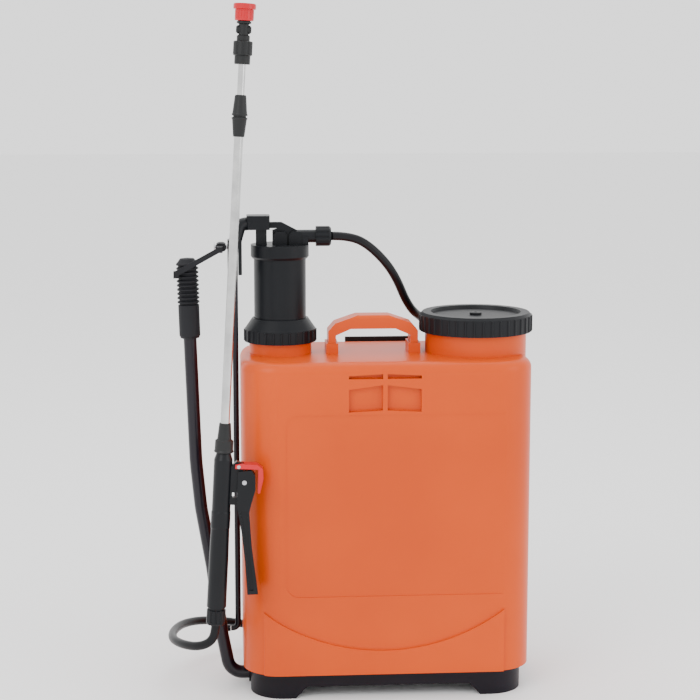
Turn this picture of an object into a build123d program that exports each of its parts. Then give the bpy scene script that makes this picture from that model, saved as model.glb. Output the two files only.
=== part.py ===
from build123d import *
import math
import os

os.makedirs("parts", exist_ok=True)

# A lever-operated knapsack sprayer, in millimetres.
# Origin: the middle of the base on the floor. +X right, +Y to the carrier's back, +Z up.

# Tank
TANK_W = 333.0
TANK_D = 172.0
BAR_R = 7.5
TANK_BOTTOM = 2 * BAR_R + 15.0
TANK_TOP = 392.0
TANK_WALL = 3.0
TANK_CORNER = 42.0
TANK_EDGE = 12.0
SKIRT_T = 3.0
SKIRT_HALF = 138.0
SKIRT_SIDE_Z = 104.0
SKIRT_MID_Z = 58.0
PANEL_DEPTH = 0.8
PANEL_X0 = -117.0
PANEL_X1 = 146.0
PANEL_Z0 = 122.0
PANEL_Z1 = TANK_TOP - 59.0

# Carry handle and the moulded crest under it
HANDLE_X = -13.0
HANDLE_W = 104.0
HANDLE_DEPTH = 30.0
HANDLE_TOP = TANK_TOP + 44.0
HANDLE_POST = 8.8
HANDLE_SOCKET = 12.0
CREST_X = -5.0
CREST_W = 92.0
CREST_DEPTH = 6.0

# Base tray and lever bearing
BASE_W = TANK_W - 17.0
BASE_D = TANK_D - 12.0
BASE_CORNER = TANK_CORNER - 4.0
BASE_WALL = 3.5
BASE_ARCH = 14.0
FOOT_L = 44.0
SHAFT_Y = -25.0
SHAFT_Z = TANK_BOTTOM / 2
BUSH_WALL = 2.0
RUN = 0.06
GAP = 0.3
SCREW_R = 2.4

# Pump
PUMP_X = 46.5 - TANK_W / 2
CYL_R = 30.5
CYL_WALL = 2.0
CYL_BOTTOM = 62.0
NECK_R = 36.0
NECK_WALL = 3.0
NECK_TOP = TANK_TOP + 19.0
GASKET_T = 1.5
FLANGE_T = 3.5
NUT_R = 42.3
NUT_SKIRT_Z = NECK_TOP - 5.0
NUT_TOP = NECK_TOP + 22.0
NUT_RIBS = 28
CHAMBER_R = 30.0
CHAMBER_WALL = 2.5
RIM_R = 33.5
RIM_Z0 = NUT_TOP + 69.0
RIM_Z1 = RIM_Z0 + 16.0
PISTON_H = 14.0
BALL_R = 7.0
BALL_LIFT = 3.0
STROKE = 47.0
FOOT_VALVE_TOP = CYL_BOTTOM + 11.0
PISTON_ROOM = 8.0
CHAMBER_BOTTOM = FOOT_VALVE_TOP + PISTON_ROOM + STROKE + PISTON_H

# Crosshead on the chamber
BLOCK_Z0 = RIM_Z1 + 17.5
BLOCK_Z1 = BLOCK_Z0 + 16.0
ROD_X = PUMP_X - 52.0
ROD_R = 3.4
FORK_Y = -15.0
FORK_Z = RIM_Z1 - 1.0
FORK_HALF = 8.2
EYE_HALF = 3.7
PIN_R = 3.0
OUTLET_Z = RIM_Z1 + 9.0
OUTLET_R = 7.5
DIP_X = PUMP_X + CHAMBER_R - 8.0
OUTLET_NUT_R = 11.6
OUTLET_X0 = DIP_X + 19.5
OUTLET_X1 = DIP_X + 37.0

# Lever
CRANK_Z = 62.0
CRANK_Y = -3.1
LEVER_X = ROD_X - 19.0
GRIP_X = LEVER_X - 32.8
GRIP_LEAN = 2.2
GRIP_R = 12.0
GRIP_Z0 = TANK_TOP + 20.0
GRIP_Z1 = GRIP_Z0 + 94.0
GRIP_RIBS = 10

# Filler
FILLER_X = TANK_W / 2 - 58.5
FILLER_R = 59.0
FILLER_WALL = 3.5
FILLER_TOP = TANK_TOP + 36.0
SEAL_T = 2.0
CAP_R = 66.2
CAP_TOP = FILLER_TOP + 10.0
CAP_SKIRT_Z = FILLER_TOP - 12.0
CAP_RIBS = 40
BASKET_DEPTH = 88.0
BASKET_LEDGE = FILLER_TOP - 7.0

# Gun and lance, along one leaning line; their own lengths run from the gun's lower end
GUN_FOOT = (ROD_X - 25.0, -TANK_D / 2 - 13.4, 118.0)
GUN_AXIS = (38.5, 20.2, 671.0)
GUN_R = 10.4
GUN_L = 177.0
GUN_BORE = 3.5
FILTER_BORE = 7.0
FILTER_L = 104.0
SPIGOT_R = 7.5
GUN_NUT_R = 10.8
GUN_NUT_L = 17.5
TRIGGER_X = 24.5
TRIGGER_S = 145.0
TRIGGER_PIN_R = 2.5
TRIGGER_HALF = 8.6
WEB_HALF = 5.0
LOCK_X = 17.5
LOCK_S = 162.5
STEM_S = 137.0
STEM_R = 2.0
VALVE_R = 4.0
LANCE_R = 5.05
LANCE_WALL = 0.7
LANCE_S0 = 182.0
LANCE_S1 = 545.0
LOCK_NUT_S = 550.5
INNER_R = 4.05
INNER_WALL = 0.7
INNER_S0 = 290.0
NOZZLE_S = 606.0

# Straps
BRACKET_Z = TANK_TOP - 10.0
BRACKET_W = 78.0
PAD_W = 52.0
PAD_T = 10.0
PAD_FOOT = 104.0
WEB_W = 30.0
WEB_T = 2.4

# Hose
HOSE_R = 5.0


def save(shape, name):
    """Write one named piece to its own file."""
    export_step(shape, "parts/" + name + ".step")


def disc(radius, z0, z1, x=0.0, y=0.0):
    """A solid round bar standing on Z."""
    return Pos(x, y, (z0 + z1) / 2) * Cylinder(radius, z1 - z0)


def ring(outer, inner, z0, z1, x=0.0, y=0.0):
    """A round tube standing on Z."""
    return disc(outer, z0, z1, x, y) - disc(inner, z0 - 1, z1 + 1, x, y)


def lathe(points, x=0.0, y=0.0):
    """Turn a closed outline of (radius, height) points about Z."""
    face = Plane.XZ * make_face(Polyline(*points, close=True))
    return Pos(x, y, 0) * revolve(face, Axis.Z)


def block(x0, x1, y0, y1, z0, z1):
    """A box between two corners."""
    return Pos((x0 + x1) / 2, (y0 + y1) / 2, (z0 + z1) / 2) * Box(x1 - x0, y1 - y0, z1 - z0)


def rod_x(radius, x0, x1, y, z):
    """A round bar lying along X."""
    return Pos((x0 + x1) / 2, y, z) * Rot(0, 90, 0) * Cylinder(radius, x1 - x0)


def rod_y(radius, y0, y1, x, z):
    """A round bar lying along Y."""
    return Pos(x, (y0 + y1) / 2, z) * Rot(90, 0, 0) * Cylinder(radius, y1 - y0)


def slab(points, y0, y1):
    """An outline of (x, z) points given a thickness along Y."""
    face = Plane.XZ * make_face(Polyline(*points, close=True))
    return Pos(0, y1, 0) * extrude(face, y1 - y0, dir=(0, -1, 0))


def round_block(width, depth, corner, z0, z1):
    """A block with rounded upright corners."""
    return extrude(Plane.XY.offset(z0) * RectangleRounded(width, depth, corner), z1 - z0)


def ribs(count, radius, at, z0, z1, x=0.0, y=0.0):
    """A ring of small upright round ribs."""
    angles = [360 * i / count for i in range(count)]
    return [Pos(x, y, 0) * Rot(0, 0, a) * disc(radius, z0, z1, at) for a in angles]


# ---------------------------------------------------------------- tank

def crest_recesses(grow):
    """The pockets in the front face under the handle, grown by a margin."""
    front = -TANK_D / 2
    deep = front + CREST_DEPTH + grow
    half = CREST_W / 2
    rib = 2.6 - grow
    pockets = []
    for side in (-1, 1):
        near = CREST_X + side * rib
        far = CREST_X + side * (half - 5.0 + grow)
        pockets.append(slab([(near, TANK_TOP - 54 - grow), (near, TANK_TOP - 25 + grow),
                             (far, TANK_TOP - 30 + grow), (far, TANK_TOP - 56 - grow)],
                            front - 1, deep))
        pockets.append(slab([(near, TANK_TOP - 18 - grow), (near, TANK_TOP - 12.5 + grow),
                             (far, TANK_TOP - 14.5 + grow), (far, TANK_TOP - 18 - grow)],
                            front - 1, deep))
    return pockets


def tank():
    """The blow-moulded tank with its two necks, skirt, crest and handle sockets."""
    shell = round_block(TANK_W, TANK_D, TANK_CORNER, TANK_BOTTOM, TANK_TOP)
    shell = fillet(shell.edges().group_by(Axis.Z)[-1], TANK_EDGE)
    skirt_round = round_block(TANK_W, TANK_D + 2 * SKIRT_T, TANK_CORNER, TANK_BOTTOM, SKIRT_SIDE_Z)
    half_turn = (SKIRT_HALF ** 2 + (SKIRT_SIDE_Z - SKIRT_MID_Z) ** 2) / (2 * (SKIRT_SIDE_Z - SKIRT_MID_Z))
    smile = rod_y(half_turn, -TANK_D, TANK_D, CREST_X, SKIRT_MID_Z + half_turn)
    front_only = block(-SKIRT_HALF + CREST_X, SKIRT_HALF + CREST_X, -TANK_D, 0, TANK_BOTTOM, SKIRT_SIDE_Z)
    skirt = (skirt_round & front_only) - smile
    body = shell + skirt
    body += disc(NECK_R, TANK_TOP - TANK_EDGE, NECK_TOP, PUMP_X)
    body += disc(FILLER_R, TANK_TOP - TANK_EDGE, FILLER_TOP, FILLER_X)
    for side in (-1, 1):
        socket_x = HANDLE_X + side * (HANDLE_W - HANDLE_POST) / 2
        body += Pos(socket_x, 0, TANK_TOP) * Box(HANDLE_POST + 5, HANDLE_DEPTH + 6, 2 * HANDLE_SOCKET)
    body -= crest_recesses(0)
    panel_mid = (PANEL_X0 + PANEL_X1) / 2
    panel = Plane.XZ.offset(TANK_D / 2 - PANEL_DEPTH) * Pos(panel_mid, (PANEL_Z0 + PANEL_Z1) / 2)
    body -= extrude(panel * RectangleRounded(PANEL_X1 - PANEL_X0, PANEL_Z1 - PANEL_Z0, 14), 5)
    hollow = round_block(TANK_W - 2 * TANK_WALL, TANK_D - 2 * TANK_WALL, TANK_CORNER - TANK_WALL,
                         TANK_BOTTOM + TANK_WALL, TANK_TOP - TANK_WALL)
    hollow = fillet(hollow.edges().group_by(Axis.Z)[-1], TANK_EDGE - TANK_WALL)
    hollow -= crest_recesses(TANK_WALL)
    for x, y in screw_places():
        hollow -= disc(SCREW_R + 4, TANK_BOTTOM, TANK_BOTTOM + 16, x, y)
    for side in (-1, 1):
        socket_x = HANDLE_X + side * (HANDLE_W - HANDLE_POST) / 2
        hollow -= Pos(socket_x, 0, TANK_TOP) * Box(HANDLE_POST + 5, HANDLE_DEPTH + 6, 2 * HANDLE_SOCKET)
    for x in bracket_screw_places():
        hollow -= rod_y(SCREW_R + 3, TANK_D / 2 - 14, TANK_D / 2, x, BRACKET_Z)
    body -= hollow
    body -= disc(NECK_R - NECK_WALL, TANK_TOP - 20, NECK_TOP + 1, PUMP_X)
    body -= disc(FILLER_R - FILLER_WALL, TANK_TOP - 20, FILLER_TOP + 1, FILLER_X)
    body += ring(FILLER_R - 0.5, FILLER_R - 6.5, BASKET_LEDGE - 3, BASKET_LEDGE, FILLER_X)
    for side in (-1, 1):
        socket_x = HANDLE_X + side * (HANDLE_W - HANDLE_POST) / 2
        body -= Pos(socket_x, 0, TANK_TOP + HANDLE_SOCKET / 2 + 1) * Box(
            HANDLE_POST + GAP, HANDLE_DEPTH + GAP, HANDLE_SOCKET + 14)
    for x, y in screw_places():
        body -= disc(SCREW_R + RUN, TANK_BOTTOM - 1, TANK_BOTTOM + 12, x, y)
    for x in bracket_screw_places():
        body -= rod_y(SCREW_R + RUN, TANK_D / 2 - 11, TANK_D / 2 + 1, x, BRACKET_Z)
    return body


def screw_places():
    """Where the four base screws stand."""
    return [(sx * (BASE_W / 2 - 40), sy * (BASE_D / 2 - 24)) for sx in (-1, 1) for sy in (-1, 1)]


def bracket_screw_places():
    """Where the two screws of the strap bracket sit, along X."""
    return (-10.0, 10.0)


def carry_handle():
    """The clip-in handle: two posts, cut corners and a crowned bar."""
    half = HANDLE_W / 2
    foot = TANK_TOP - HANDLE_SOCKET / 2 + GAP
    outer = [(-half, foot), (-half, HANDLE_TOP - 18), (-half + 8, HANDLE_TOP - 9), (-18, HANDLE_TOP),
             (18, HANDLE_TOP), (half - 8, HANDLE_TOP - 9), (half, HANDLE_TOP - 18), (half, foot)]
    inner = [(-half + HANDLE_POST, foot - 1), (-half + HANDLE_POST, HANDLE_TOP - 23),
             (-half + 26, HANDLE_TOP - 15.5),
             (half - 26, HANDLE_TOP - 15.5), (half - HANDLE_POST, HANDLE_TOP - 23),
             (half - HANDLE_POST, foot - 1)]
    frame = slab(outer, -HANDLE_DEPTH / 2, HANDLE_DEPTH / 2)
    frame -= slab(inner, -HANDLE_DEPTH, HANDLE_DEPTH)
    grip_edges = frame.edges().filter_by(Axis.X).group_by(Axis.Z)[-1]
    frame = fillet(grip_edges, 4)
    return Pos(HANDLE_X, 0, 0) * frame


# ---------------------------------------------------------------- base

BEARINGS = (-BASE_W / 2, 66.0 - BASE_W / 2)
BOSS_L = 14.0


def base_tray():
    """The hollow tray under the tank, standing on two broad feet, with the lever's bearing bosses."""
    tray = round_block(BASE_W, BASE_D, BASE_CORNER, 0, TANK_BOTTOM)
    tray -= round_block(BASE_W - 2 * BASE_WALL, BASE_D - 2 * BASE_WALL, BASE_CORNER - BASE_WALL,
                        -1, TANK_BOTTOM - BASE_WALL)
    reach = BASE_W / 2 - FOOT_L - 6
    arch = reach - BASE_ARCH
    tray -= slab([(-reach, -1), (-arch, BASE_ARCH), (arch, BASE_ARCH), (reach, -1)], -BASE_D, BASE_D)
    side_reach = BASE_D / 2 - BASE_CORNER
    tray -= block(BASE_W / 2 - 20, BASE_W / 2 + 1, -side_reach, side_reach, -1, BASE_ARCH - 6)
    for x in (-60, 0, 60):
        tray += block(x - 1.5, x + 1.5, -BASE_D / 2 + 2, BASE_D / 2 - 2, BASE_ARCH + 2, TANK_BOTTOM - 1)
    boss = BAR_R + BUSH_WALL + 4
    for x in BEARINGS:
        side = block(x, x + BOSS_L, SHAFT_Y - boss, SHAFT_Y + boss, SHAFT_Z, TANK_BOTTOM - 1)
        tray += side + rod_x(boss, x, x + BOSS_L, SHAFT_Y, SHAFT_Z)
    for x in BEARINGS:
        tray -= rod_x(BAR_R + BUSH_WALL + RUN, x - 1, x + BOSS_L + 1, SHAFT_Y, SHAFT_Z)
    for x, y in screw_places():
        tray += disc(SCREW_R + 4, BASE_ARCH, TANK_BOTTOM - 1, x, y)
        tray -= disc(SCREW_R + GAP, -1, TANK_BOTTOM + 1, x, y)
        tray -= disc(SCREW_R + 2.6, -1, BASE_ARCH + 4, x, y)
    return tray


def base_screws():
    """Four round-headed screws that hold the tray to the tank."""
    seat = BASE_ARCH + 4
    return [disc(SCREW_R, seat - 1, TANK_BOTTOM + 11, x, y) + disc(SCREW_R + 2.2, seat - 3, seat - 0.1, x, y)
            for x, y in screw_places()]


def lever_bushes():
    """Two flanged plastic bushes that the lever's shaft turns in."""
    made = []
    for x in BEARINGS:
        bush = rod_x(BAR_R + BUSH_WALL, x, x + BOSS_L, SHAFT_Y, SHAFT_Z)
        bush += rod_x(BAR_R + BUSH_WALL + 2, x - 2, x, SHAFT_Y, SHAFT_Z)
        bush -= rod_x(BAR_R + RUN, x - 5, x + BOSS_L + 5, SHAFT_Y, SHAFT_Z)
        made.append(bush)
    return made


SHAFT_END = BEARINGS[1] + BOSS_L + 14
WASHER_X = BEARINGS[1] + BOSS_L + 1


def lever_path():
    """The bar's middle line: along the shaft, round the bend, up beside the pump and out to the grip."""
    places = [(SHAFT_END, SHAFT_Z), (LEVER_X + 9, SHAFT_Z), (LEVER_X, CRANK_Z), (LEVER_X - 10.8, 144.0),
              (LEVER_X - 22.8, 215.0), (LEVER_X - 28, 270.0), (GRIP_X, GRIP_Z0),
              (GRIP_X - GRIP_LEAN, GRIP_Z1 - 12)]
    return FilletPolyline(*[(x, SHAFT_Y, z) for x, z in places], radius=[18, 110, 160, 160, 300, 300])


def lever():
    """The bent steel bar, its welded crank lug and stud."""
    path = lever_path()
    bar = sweep(Plane(path @ 0, z_dir=path % 0) * Circle(BAR_R), path=path)
    lug_face = make_face(Plane.YZ * Polyline((SHAFT_Y, CRANK_Z + 12), (CRANK_Y + 6, CRANK_Z + 8),
                                             (CRANK_Y + 8, CRANK_Z - 2), (CRANK_Y + 4, CRANK_Z - 9),
                                             (SHAFT_Y, CRANK_Z - 20), close=True))
    lug = Pos(LEVER_X, 0, 0) * extrude(lug_face, 3, both=True)
    stud = rod_x(4, LEVER_X, ROD_X - 9.0, CRANK_Y, CRANK_Z)
    bar = bar + lug + stud
    bar -= rod_y(1.5 + RUN, SHAFT_Y - 9, SHAFT_Y + 9, WASHER_X + 6, SHAFT_Z)
    return bar


def lever_washer():
    """The washer behind the inner bearing."""
    return rod_x(BAR_R + 3.4, WASHER_X, WASHER_X + 2, SHAFT_Y, SHAFT_Z) - rod_x(
        BAR_R + 0.1, WASHER_X - 1, WASHER_X + 3, SHAFT_Y, SHAFT_Z)


def lever_split_pin():
    """The pin through the shaft that stops the washer."""
    x = WASHER_X + 6
    reach = BAR_R + 2
    pin = rod_y(1.5, SHAFT_Y - reach, SHAFT_Y + reach, x, SHAFT_Z)
    return pin + rod_y(2.4, SHAFT_Y - reach - 1.5, SHAFT_Y - reach, x, SHAFT_Z)


def lever_grip():
    """The soft grip over the bar's top, ribbed above and smooth below."""
    lower, upper = GRIP_Z0 + 40, GRIP_Z1
    outline = [(0, GRIP_Z0 + 2), (GRIP_R - 1.5, GRIP_Z0 + 2), (GRIP_R, GRIP_Z0 + 5), (GRIP_R, lower)]
    pitch = (upper - lower - 6) / GRIP_RIBS
    for i in range(GRIP_RIBS):
        base = lower + i * pitch
        outline += [(GRIP_R - 1.6, base + 0.8), (GRIP_R - 1.6, base + 1.6), (GRIP_R + 0.6, base + 2.6),
                    (GRIP_R + 0.6, base + pitch - 0.8)]
    outline += [(GRIP_R - 1, upper - 5), (GRIP_R - 4, upper - 1), (0, upper)]
    grip = lathe(outline)
    lean = math.degrees(math.atan2(GRIP_LEAN, GRIP_Z1 - 12 - GRIP_Z0))
    grip = Pos(GRIP_X, SHAFT_Y, GRIP_Z0) * Rot(0, -lean, 0) * Pos(0, 0, -GRIP_Z0) * grip
    path = lever_path()
    hole = sweep(Plane(path @ 0, z_dir=path % 0) * Circle(BAR_R + 0.05), path=path)
    return grip - hole


def connecting_rod():
    """The steel rod: an eye on the fork's pin above, a hook that points at the lever's stud below."""
    reach = FORK_Z - CRANK_Z
    lean = CRANK_Y - FORK_Y
    length = math.hypot(reach, lean)
    path = FilletPolyline((0, 0, -4), (0, 0, -length), (-8.6, 0, -length), radius=6.5)
    bar = sweep(Plane(path @ 0, z_dir=path % 0) * Circle(ROD_R), path=path)
    eye = rod_x(7, -EYE_HALF, EYE_HALF, 0, 0)
    rod = (bar + eye) - rod_x(PIN_R + RUN, -20, 20, 0, 0)
    return Pos(ROD_X, FORK_Y, FORK_Z) * Rot(math.degrees(math.atan2(lean, reach)), 0, 0) * rod


# ---------------------------------------------------------------- pump, fixed half

def pump_cylinder():
    """The plain cylinder that hangs in the tank from the neck."""
    flange_z = NECK_TOP + GASKET_T
    body = ring(CYL_R + CYL_WALL, CYL_R, CYL_BOTTOM, flange_z + FLANGE_T, PUMP_X)
    body += ring(NECK_R - 0.3, CYL_R, flange_z, flange_z + FLANGE_T, PUMP_X)
    return body


def foot_valve():
    """The valve body pressed into the cylinder's foot, with its seat and ball cage."""
    z = CYL_BOTTOM
    body = lathe([(5.5, z - 12), (14, z - 12), (14, z - 2), (CYL_R + CYL_WALL, z - 2),
                  (CYL_R + CYL_WALL, z - 0.1), (CYL_R - 0.1, z - 0.1), (CYL_R - 0.1, FOOT_VALVE_TOP),
                  (8.6, FOOT_VALVE_TOP), (8.6, z - 3), (5.5, z - 6.1)], PUMP_X)
    return body + ball_stop(z)


def ball_stop(z):
    """The cross bar that limits a valve ball's lift."""
    low = z - 1.6 + BALL_R + BALL_LIFT + 0.1
    return block(PUMP_X - 9, PUMP_X + 9, -1.2, 1.2, low, low + 2.5)


def valve_ball(seat_z):
    """A ball resting on a conical seat, just clear of it."""
    return Pos(PUMP_X, 0, seat_z - 1.6) * Sphere(BALL_R)


def suction_strainer():
    """The slotted cup round the foot valve, standing off the tank's floor."""
    z1 = CYL_BOTTOM - 2.3
    z0 = TANK_BOTTOM + TANK_WALL + 4
    cup = ring(17.5, 14.2, z1 - 8, z1, PUMP_X) + ring(17.5, 15.5, z0, z1, PUMP_X)
    cup += disc(17.5, z0, z0 + 2, PUMP_X)
    slots = [Pos(PUMP_X, 0, 0) * Rot(0, 0, 22.5 * i) * block(12, 20, -1, 1, z0 + 3, z1 - 9)
             for i in range(16)]
    return cup - slots


def pump_nut():
    """The big ribbed ring nut that holds the cylinder and guides the chamber."""
    seat = NECK_TOP + GASKET_T + FLANGE_T
    bore = NECK_R + 0.35
    guide = CHAMBER_R + 0.1
    body = lathe([(bore, NUT_SKIRT_Z), (NUT_R - 1.2, NUT_SKIRT_Z), (NUT_R - 1.2, NUT_TOP - 12.5),
                  (CHAMBER_R + 2.5, NUT_TOP), (guide, NUT_TOP), (guide, seat + 0.1),
                  (bore, seat + 0.1)], PUMP_X)
    return body + ribs(NUT_RIBS, 1.5, NUT_R - 1.5, NUT_SKIRT_Z + 0.5, NUT_TOP - 13, PUMP_X)


# ---------------------------------------------------------------- pump, sliding half

def air_chamber():
    """The long pressure chamber that is also the plunger."""
    return ring(CHAMBER_R, CHAMBER_R - CHAMBER_WALL, CHAMBER_BOTTOM, RIM_Z1 - 4.2, PUMP_X)


def piston():
    """The piston head closing the chamber's foot, with the delivery valve's seat."""
    z = CHAMBER_BOTTOM
    inner = CHAMBER_R - CHAMBER_WALL - 0.1
    body = lathe([(5.5, z - PISTON_H), (CHAMBER_R - 0.3, z - PISTON_H), (CHAMBER_R - 0.3, z - PISTON_H + 3),
                  (CHAMBER_R - 4, z - PISTON_H + 3), (CHAMBER_R - 4, z - 4), (CHAMBER_R - 0.3, z - 4),
                  (CHAMBER_R - 0.3, z - 0.1), (inner, z - 0.1), (inner, z + 11), (8.6, z + 11), (8.6, z - 3),
                  (5.5, z - 6.1)], PUMP_X)
    return body + ball_stop(z)


def piston_cup():
    """The rubber cup in the piston's groove."""
    z = CHAMBER_BOTTOM
    return ring(CYL_R - 0.05, CHAMBER_R - 3.9, z - PISTON_H + 3.1, z - 4.1, PUMP_X)


def chamber_top():
    """The moulded top: rim, crosshead block, arm with the rod's fork, and the hose outlet."""
    rim = lathe([(CHAMBER_R + 0.1, RIM_Z0), (RIM_R - 2, RIM_Z0), (RIM_R, RIM_Z0 + 2.5), (RIM_R, RIM_Z1),
                 (0, RIM_Z1), (0, RIM_Z1 - 4), (CHAMBER_R + 0.1, RIM_Z1 - 4)], PUMP_X)
    post = block(PUMP_X - 27.5, PUMP_X - 15, -8, 8, RIM_Z1 - 1, BLOCK_Z0 + 1)
    head = block(PUMP_X - 38, PUMP_X - 11.5, -13, 13, BLOCK_Z0, BLOCK_Z1)
    head = fillet(head.edges().filter_by(Axis.Z), 3)
    web = slab([(-12, 18.6), (-12, 25.6), (2, 25.6), (28, 12), (33, 12), (33, -1), (-8.5, -1), (-8.5, 16.5),
                (-2, 18.6)], -2.5, 2.5)
    web = Pos(PUMP_X, 0, RIM_Z1) * web
    tower = [Pos(PUMP_X, 0, RIM_Z1) * slab([(x, -1), (x, 11), (x + 3, 15), (x + 13, 15), (x + 15.5, 11),
                                            (x + 15.5, -1)], -8, 8) for x in (-7.5, 10.5)]
    tower.append(block(PUMP_X + 26, PUMP_X + 32.5, -9, 9, RIM_Z1 - 1, OUTLET_Z))
    spout = Pos(DIP_X, 0, OUTLET_Z) * Rot(0, 90, 0) * Pos(0, 0, 10) * Cylinder(OUTLET_R, 24)
    arm_path = FilletPolyline((PUMP_X - 30, 0, RIM_Z1 + 25), (ROD_X + 6, FORK_Y / 2, RIM_Z1 + 23),
                              (ROD_X, FORK_Y, FORK_Z + 4), radius=9)
    arm = sweep(Plane(arm_path @ 0, z_dir=arm_path % 0) * Circle(7.6), path=arm_path)
    low = FORK_Z - 32
    fork = block(ROD_X - FORK_HALF, ROD_X + FORK_HALF, FORK_Y - 8, FORK_Y + 8, low, FORK_Z + 8)
    fork = fillet(fork.edges().filter_by(Axis.Z), 3)
    whole = rim + post + head + web + tower + spout + arm + fork
    slot = EYE_HALF + GAP
    whole -= block(ROD_X - slot, ROD_X + slot, FORK_Y - 20, FORK_Y + 20, low - 1, FORK_Z + 7.6)
    whole -= rod_x(PIN_R + RUN, ROD_X - 20, ROD_X + 20, FORK_Y, FORK_Z)
    port = Pos(DIP_X, 0, OUTLET_Z) * Rot(0, 90, 0) * Pos(0, 0, 10) * Cylinder(3.2, 30)
    whole -= port
    whole -= disc(5 + RUN, RIM_Z1 - 5, OUTLET_Z - 1, DIP_X)
    return whole


def dip_tube():
    """The pipe from the outlet down near the chamber's foot, so that air stays above the liquid."""
    return ring(5, 3.4, CHAMBER_BOTTOM + 30, OUTLET_Z - 4, DIP_X)


def fork_pin():
    """The headed pin through the fork and the rod's eye; its left end also carries the stowage strap."""
    left = ROD_X - FORK_HALF - 14
    right = ROD_X + FORK_HALF
    head = rod_x(PIN_R + 2, left - 1.5, left, FORK_Y, FORK_Z)
    return rod_x(PIN_R, left, right - 0.5, FORK_Y, FORK_Z) + head


def stow_strap():
    """The rubber strap on the pin's left end that catches the grip when the lever is stowed."""
    x1 = ROD_X - FORK_HALF - 1.0
    x0 = x1 - 12.5
    eye = Pos((x0 + x1) / 2, FORK_Y, FORK_Z) * Rot(90, 0, 0) * extrude(
        SlotOverall(x1 - x0, 9.5), amount=9, both=True)
    front = SHAFT_Y - GRIP_R - 4.0
    left = GRIP_X - GRIP_LEAN - GRIP_R - 3.4
    strip = slab([(x0 + 4, FORK_Z - 4.5), (x0 + 4, FORK_Z + 2), (left, FORK_Z - 26), (left, FORK_Z - 33)],
                 front, front + 2.2)
    link = block(x0 + 1, x0 + 8, front, FORK_Y - 6, FORK_Z - 4.5, FORK_Z + 2)
    hook = block(left, left + 2.4, front, SHAFT_Y - 2, FORK_Z - 33, FORK_Z - 26)
    hook += block(left, left + 6, front, front + 2.2, FORK_Z - 33, FORK_Z - 26)
    strap = eye + link + strip + hook
    return strap - rod_x(PIN_R + RUN, x0 - 5, x1 + 5, FORK_Y, FORK_Z)


def outlet_nut():
    """The fluted nut on the outlet, holding the hose."""
    body = Cylinder(OUTLET_NUT_R, OUTLET_X1 - OUTLET_X0)
    body = chamfer(body.edges().group_by(Axis.Z)[-1], 2)
    body -= [Rot(0, 0, 30 * i) * Pos(OUTLET_NUT_R + 0.4, 0, -2) * Cylinder(1.3, 16) for i in range(12)]
    body -= Pos(0, 0, -5) * Cylinder(OUTLET_R + 0.15, 12)
    body -= Cylinder(3.5, 40)
    return Pos((OUTLET_X0 + OUTLET_X1) / 2, 0, OUTLET_Z) * Rot(0, 90, 0) * body


# ---------------------------------------------------------------- filler

def filler_cap():
    """The ribbed cap with its dished top and a round vent boss."""
    top = FILLER_TOP + SEAL_T
    body = lathe([(FILLER_R + 0.7, CAP_SKIRT_Z), (CAP_R - 1.2, CAP_SKIRT_Z), (CAP_R - 1.2, CAP_TOP - 3),
                  (CAP_R - 4, CAP_TOP), (52.5, CAP_TOP), (51, CAP_TOP - 4), (7, CAP_TOP - 4),
                  (7, CAP_TOP - 1.5),
                  (5.5, CAP_TOP - 1), (2, CAP_TOP - 1), (2, top + 0.2),
                  (FILLER_R + 0.7, top + 0.2)], FILLER_X)
    return body + ribs(CAP_RIBS, 1.6, CAP_R - 1.6, CAP_SKIRT_Z + 0.5, CAP_TOP - 3.5, FILLER_X)


def filler_seal():
    """The flat rubber ring between the neck and the cap."""
    return ring(FILLER_R, FILLER_R - 7, FILLER_TOP + 0.05, FILLER_TOP + SEAL_T, FILLER_X)


def vent_disc():
    """The rubber umbrella valve under the cap's vent."""
    top = FILLER_TOP + SEAL_T
    return disc(6, top - 2.2, top, FILLER_X) + disc(1.8, top - 1, CAP_TOP - 2, FILLER_X)


def filler_strainer():
    """The basket that keeps leaves out of the tank."""
    z1 = BASKET_LEDGE + 2.2
    z0 = z1 - BASKET_DEPTH
    r = FILLER_R - 8
    basket = lathe([(0, z0), (r - 6, z0), (r - 0.4, BASKET_LEDGE - 4), (r - 0.4, BASKET_LEDGE + 0.1),
                    (FILLER_R - FILLER_WALL - 0.3, BASKET_LEDGE + 0.1), (FILLER_R - FILLER_WALL - 0.3, z1),
                    (r - 2.4, z1), (r - 2.4, BASKET_LEDGE - 4), (r - 8, z0 + 2), (0, z0 + 2)], FILLER_X)
    rows = [(z0 + 8 + 24 * k, z0 + 26 + 24 * k) for k in range(3)]
    slots = [Pos(FILLER_X, 0, 0) * Rot(0, 0, 18 * i) * block(r - 12, r + 5, -2.2, 2.2, a, b)
             for i in range(20) for a, b in rows]
    return basket - slots


# ---------------------------------------------------------------- gun

def along_gun(shape):
    """Put a shape made about Z, from the gun's lower end, in its leaning place."""
    up = Vector(*GUN_AXIS).normalized()
    across = (Vector(1, 0, 0) - up * up.X).normalized()
    place = Plane(origin=GUN_FOOT, x_dir=across, z_dir=up).location
    if isinstance(shape, (list, ShapeList)):
        return [place * one for one in shape]
    return place * shape


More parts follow.
